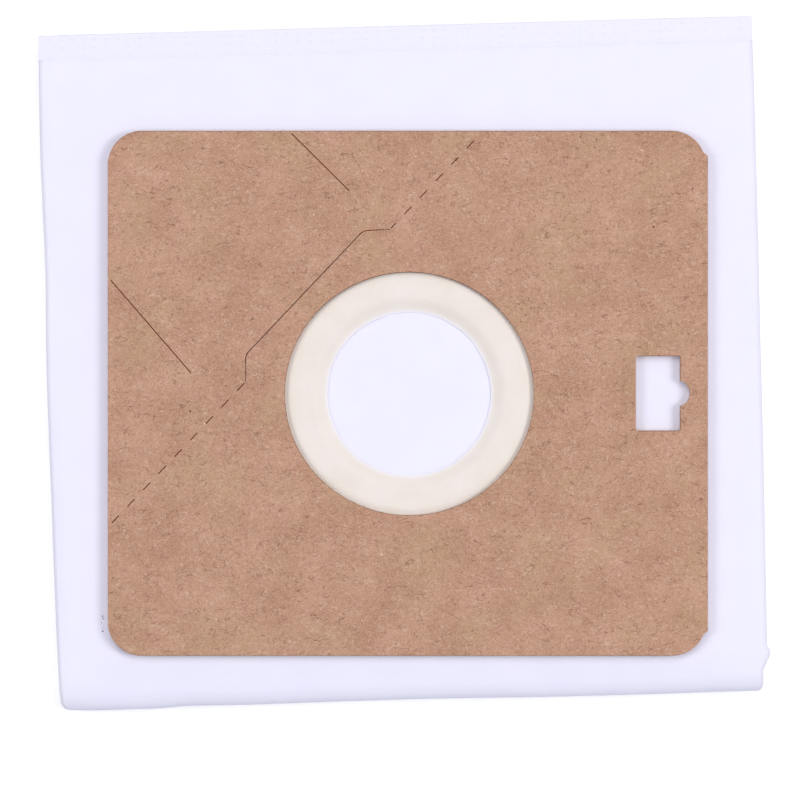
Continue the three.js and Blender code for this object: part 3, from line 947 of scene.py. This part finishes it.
def gusset_ripple(across, height, from_edge):
    """The gussets' layers wander a little between the two panels, which stay where they are."""
    between = 1 - np.abs(height - middle_face) / (outer_face - FABRIC / 2 - middle_face)
    wander = waves(from_edge + 0.7 * np.abs(across), (37, 21, 13), 61)
    return GUSSET_RIPPLE * np.maximum(between, 0) * wander * ease(from_edge, 5, 15)


def buckle(across, from_edge):
    """Shallow, soft buckles where the upper half bends towards the fold."""
    runs = waves(across + 0.4 * from_edge, (43, 27, 17), 41)
    runs = runs + 0.5 * waves(across - 0.6 * from_edge, (11, 7.3), 42)
    return BUCKLE * runs * ease(from_edge, 0, 2.5) * (1 - ease(from_edge, 3.5, BUCKLE_LENGTH))


print("side folds are drawn in by up to", DRAWN_IN, "mm")

# %% [markdown]
# ## Where each point of the section goes
# A station is a place along the bag. It is known by its distance from the fold's edge, or,
# within the fold, by how far it has turned, and by the half that it is on. Near a weld the
# layers close up. One function places a whole section.
# %% Stations along the bag, from the upper weld round the fold to the lower weld
def half_stations(length, up):
    flat_end = length - WELD_WIDTH - TUCK_LENGTH
    beside_fold = np.arange(outer_face, CORNER_LENGTH, CORNER_SPACING)[1:]
    flat_count = round((flat_end - CORNER_LENGTH) / SPACING)
    flats = np.linspace(CORNER_LENGTH, flat_end, flat_count, endpoint=False)
    tucks = np.linspace(flat_end, length - WELD_WIDTH + 1, round((TUCK_LENGTH + 1) / (SPACING * 0.8)))
    return [(y, 0.0 if up else np.pi, up) for y in np.concatenate([beside_fold, flats, tucks])]


folds = [(0.0, turn, None) for turn in np.linspace(0, np.pi, FOLD_STEPS + 1)]
stations = half_stations(FRONT_LENGTH, True)[::-1] + folds + half_stations(BACK_LENGTH, False)
print(len(stations), "stations")


# %% Place a whole section at a station
def squeeze(height, share, weld_height):
    closed = 0.5 * WELD_THICKNESS / (outer_face - inner_face)
    scale = 1 + (closed - 1) * share
    middle = middle_face + (weld_height - middle_face) * share
    return middle + (height - middle_face) * scale


def in_the_fold(across, height, turn):
    """Distance from the fold's edge and height, where the fabric turns round the fold."""
    reach = height * np.sin(turn) * (1 + measured(across, FOLD_EDGE) / outer_face)
    y = outer_face - reach
    z = height * np.cos(turn)
    return y, z + np.where(z > 0, buckle(across, y) * height / outer_face, 0)


def along_a_half(across, height, from_edge, up):
    """The same on the upper or lower half, and the place across, which the pull changes."""
    length = FRONT_LENGTH if up else BACK_LENGTH
    weld_height = FRONT_WELD_HEIGHT if up else BACK_WELD_HEIGHT
    share = ease(from_edge, length - WELD_WIDTH - TUCK_LENGTH, length - WELD_WIDTH)
    at_side = ease(np.abs(across), BAG_WIDTH / 2 - GUSSET_DEPTH, BAG_WIDTH / 2)
    behind = drawn_in(height, from_edge, up) * at_side
    across = across - np.sign(across) * behind * (1 - share)
    height = height + gusset_ripple(across, height, from_edge) * (1 - share)
    height = squeeze(height, share, weld_height)
    y = np.full(len(across), from_edge)
    if not up:
        return across, y, -height
    x_there, y_there = level_place(across, y)
    z = height + np.where(on_upper_panel, upper_panel_lift(x_there, y_there) * (1 - share), 0)
    z = z + np.where(on_lower_panel, lower_panel_lift(x_there, y_there), 0)
    return across, y, z + buckle(across, y) * height / outer_face


def place_section(from_edge, turn, up):
    """The section's points at one station, in the bag's own millimetres."""
    across, height = section[:, 0].copy(), section[:, 1].copy()
    if up is None:
        y, z = in_the_fold(across, height, turn)
    else:
        across, y, z = along_a_half(across, height, from_edge, up)
    pinched = 1 - PINCH * (1 - ease(y, 0, PINCH_LENGTH))
    return np.stack([across + side_shift(across, y), y, z * pinched + fold_plane], axis=1)


rows = np.stack([place_section(*station) for station in stations])
print("rows", rows.shape, "heights", rows[..., 2].min().round(2), "to", rows[..., 2].max().round(2))

# %% [markdown]
# The mesh is a plain grid: the section's points one way, the stations the other. The UV
# map takes its two lengths from the same grid, measured along the fabric. The opening
# under the collar is cut by removing the grid's faces there and drawing the ragged edge
# out to a circle. The boards hide that edge, so it needs no finer cut.
# %% Build the tube's grid
def to_world(points):
    """From the bag's own millimetres to metres in the shared frame."""
    x, y = level_place(points[:, 0], points[:, 1])
    return np.stack([x, y, points[:, 2]], axis=1) * MM


steps = np.linalg.norm(np.diff(rows, axis=0), axis=2).mean(axis=1)
along = np.concatenate([[0], np.cumsum(steps)])
closing_step = np.linalg.norm(section[0] - section[-1])
lengths = np.append(around, around[-1] + closing_step)
columns = len(section)

tube = bmesh.new()
fold_shade = tube.verts.layers.float.new("fold_shade")
cloth_uv = tube.loops.layers.uv.new("cloth")
verts = [tube.verts.new(point) for point in to_world(rows.reshape(-1, 3))]
for index, vert in enumerate(verts):
    # points on the side folds get painted shade in the fabric's colour
    vert[fold_shade] = float(on_shaded_fold[index % columns])
for s in range(len(stations) - 1):
    for i in range(columns):
        # station and point of each corner, the points counted on past the last one
        corners = [(s, i), (s + 1, i), (s + 1, i + 1), (s, i + 1)]
        face = tube.faces.new([verts[row * columns + point % columns] for row, point in corners])
        face.smooth = True
        for loop, (row, point) in zip(face.loops, corners):
            loop[cloth_uv].uv = (lengths[point] * MM, along[row] * MM)
print("grid of", len(tube.faces), "faces")

# %% Cut the opening and give the fabric its thickness
FABRIC_OPENING = 25.9
axis = Vector((inlet[0], inlet[1], 0)) * MM


def from_axis(co):
    return (co.xy - axis.xy).length / MM


upper_stations = [s for s, (_, _, up) in enumerate(stations) if up]
panel = [verts[s * columns + i] for s in upper_stations for i in np.flatnonzero(on_upper_panel)]
cut_radius = FABRIC_OPENING - SPACING / 2
inside = [v for v in panel if from_axis(v.co) < cut_radius]
edge = [v for v in panel if cut_radius <= from_axis(v.co) < FABRIC_OPENING + 2 * SPACING]
bmesh.ops.delete(tube, geom=inside, context="VERTS")
for vert in edge:
    if vert.is_boundary:
        out = (vert.co.xy - axis.xy).normalized() * FABRIC_OPENING * MM
        vert.co.xy = axis.xy + out

bag_mesh = bpy.data.meshes.new("bag_fabric")
tube.to_mesh(bag_mesh)
tube.free()
bag_fabric = bpy.data.objects.new("bag_fabric", bag_mesh)
bpy.context.scene.collection.objects.link(bag_fabric)
bag_mesh.materials.append(fabric_finish)
wall = bag_fabric.modifiers.new("thickness", "SOLIDIFY")
wall.thickness = FABRIC * MM
wall.offset = 0
print("bag fabric:", len(bag_mesh.polygons), "faces before it gets its thickness")

# %% [markdown]
# ## Welds
# Each end of the tube is closed by a heated bar that squeezes all its layers into one stiff
# strip and leaves rows of small raised points on it. The strip is a bar with rounded edges,
# and the points are one small ball, flattened and set out on a grid above and below.
# %% The weld's tree
WELD_NUMBERS = ("Length", "Width", "Thickness", "Corner Radius")
WELD_NUMBERS += ("Point Length", "Point Width", "Point Height")
WELD_INPUTS = dict.fromkeys(WELD_NUMBERS, "Float") | {"Points Along": "Int", "Points Across": "Int"}
WELD_INPUTS |= {"Middle": "Vector", "Turn": "Vector", "Finish": "Material"}
# share of the strip's length and width that the points cover
POINTED_LENGTH = 0.965
POINTED_WIDTH = 0.62


def bar(tree, given):
    """The strip: a rounded section carried along a line."""
    half = add(tree, MATH, (given["Length"], 0.5), "MULTIPLY")
    minus_half = add(tree, MATH, (half, -1.0), "MULTIPLY")
    start = add(tree, "ShaderNodeCombineXYZ", {"X": minus_half})
    end = add(tree, "ShaderNodeCombineXYZ", {"X": half})
    spine = add(tree, "GeometryNodeCurvePrimitiveLine", {"Start": start, "End": end})
    sheet = {"Width": given["Width"], "Height": given["Thickness"]}
    sheet = add(tree, "GeometryNodeCurvePrimitiveQuadrilateral", sheet)
    rounded = {"Curve": sheet, "Count": 4, "Radius": given["Corner Radius"], "Limit Radius": True}
    rounded = add(tree, "GeometryNodeFilletCurve", rounded, mode="POLY")
    strip = {"Curve": spine, "Profile Curve": rounded, "Fill Caps": True}
    return add(tree, "GeometryNodeCurveToMesh", strip)


def embossed_points(tree, given):
    """One flattened ball on each point of a grid."""
    spread_x = add(tree, MATH, (given["Length"], POINTED_LENGTH), "MULTIPLY")
    spread_y = add(tree, MATH, (given["Width"], POINTED_WIDTH), "MULTIPLY")
    grid = {"Size X": spread_x, "Size Y": spread_y}
    grid.update({"Vertices X": given["Points Along"], "Vertices Y": given["Points Across"]})
    grid = add(tree, "GeometryNodeMeshGrid", grid)
    ball = add(tree, "GeometryNodeMeshIcoSphere", {"Radius": 0.5, "Subdivisions": 1})
    tall = add(tree, MATH, (given["Point Height"], 2.0), "MULTIPLY")
    size = {"X": given["Point Length"], "Y": given["Point Width"], "Z": tall}
    size = add(tree, "ShaderNodeCombineXYZ", size)
    points = {"Points": grid, "Instance": ball, "Scale": size}
    return add(tree, "GeometryNodeInstanceOnPoints", points)


def weld_tree():
    tree, given = new_tree("welded_strip", WELD_INPUTS)
    strip = bar(tree, given)
    points = embossed_points(tree, given)
    half_thick = add(tree, MATH, (given["Thickness"], 0.5), "MULTIPLY")
    below = add(tree, MATH, (half_thick, -1.0), "MULTIPLY")
    parts = [strip]
    for height in (half_thick, below):
        move = add(tree, "ShaderNodeCombineXYZ", {"Z": height})
        parts.append(add(tree, "GeometryNodeTransform", {"Geometry": points, "Translation": move}))
    joined = add(tree, "GeometryNodeJoinGeometry")
    for part in parts:
        tree.links.new(part.outputs[0], joined.inputs[0])
    placed = {"Geometry": joined, "Translation": given["Middle"], "Rotation": given["Turn"]}
    placed = add(tree, "GeometryNodeTransform", placed)
    real = add(tree, "GeometryNodeRealizeInstances", {"Geometry": placed})
    finished = add(tree, "GeometryNodeSetMaterial", {"Geometry": real, "Material": given["Finish"]})
    add(tree, "NodeGroupOutput", {"Geometry": finished})
    return tree


print("the weld's tree has", len(WELD_INPUTS), "inputs")

# %% Make both welds
POINT_PITCH = 2.3
POINT_ROWS = 3

for name, length, height in (
    ("front_weld", FRONT_LENGTH, fold_plane + FRONT_WELD_HEIGHT),
    ("back_weld", BACK_LENGTH, fold_plane - BACK_WELD_HEIGHT),
):
    side = (measured(length, RIGHT_SIDE) - measured(length, LEFT_SIDE)) / 2
    x, y = level_place(side, length - WELD_WIDTH / 2)
    weld = grow(
        name,
        weld_tree(),
        {
            "Length": (BAG_WIDTH + 0.1) * MM,
            "Width": WELD_WIDTH * MM,
            "Thickness": (WELD_THICKNESS + 0.12) * MM,
            "Corner Radius": 0.35 * MM,
            "Point Length": 1.3 * MM,
            "Point Width": 0.7 * MM,
            "Point Height": 0.12 * MM,
            "Points Along": round(BAG_WIDTH / POINT_PITCH),
            "Points Across": POINT_ROWS,
            "Middle": (x * MM, y * MM, height * MM),
            "Turn": (0.0, 0.0, BAG_TURN),
            "Finish": weld_finish,
        },
    )
    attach(weld, "root")

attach(seal_ring, "root")
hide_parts("inlet_seal")

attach(bag_fabric, "root")
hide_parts("filter_bag")
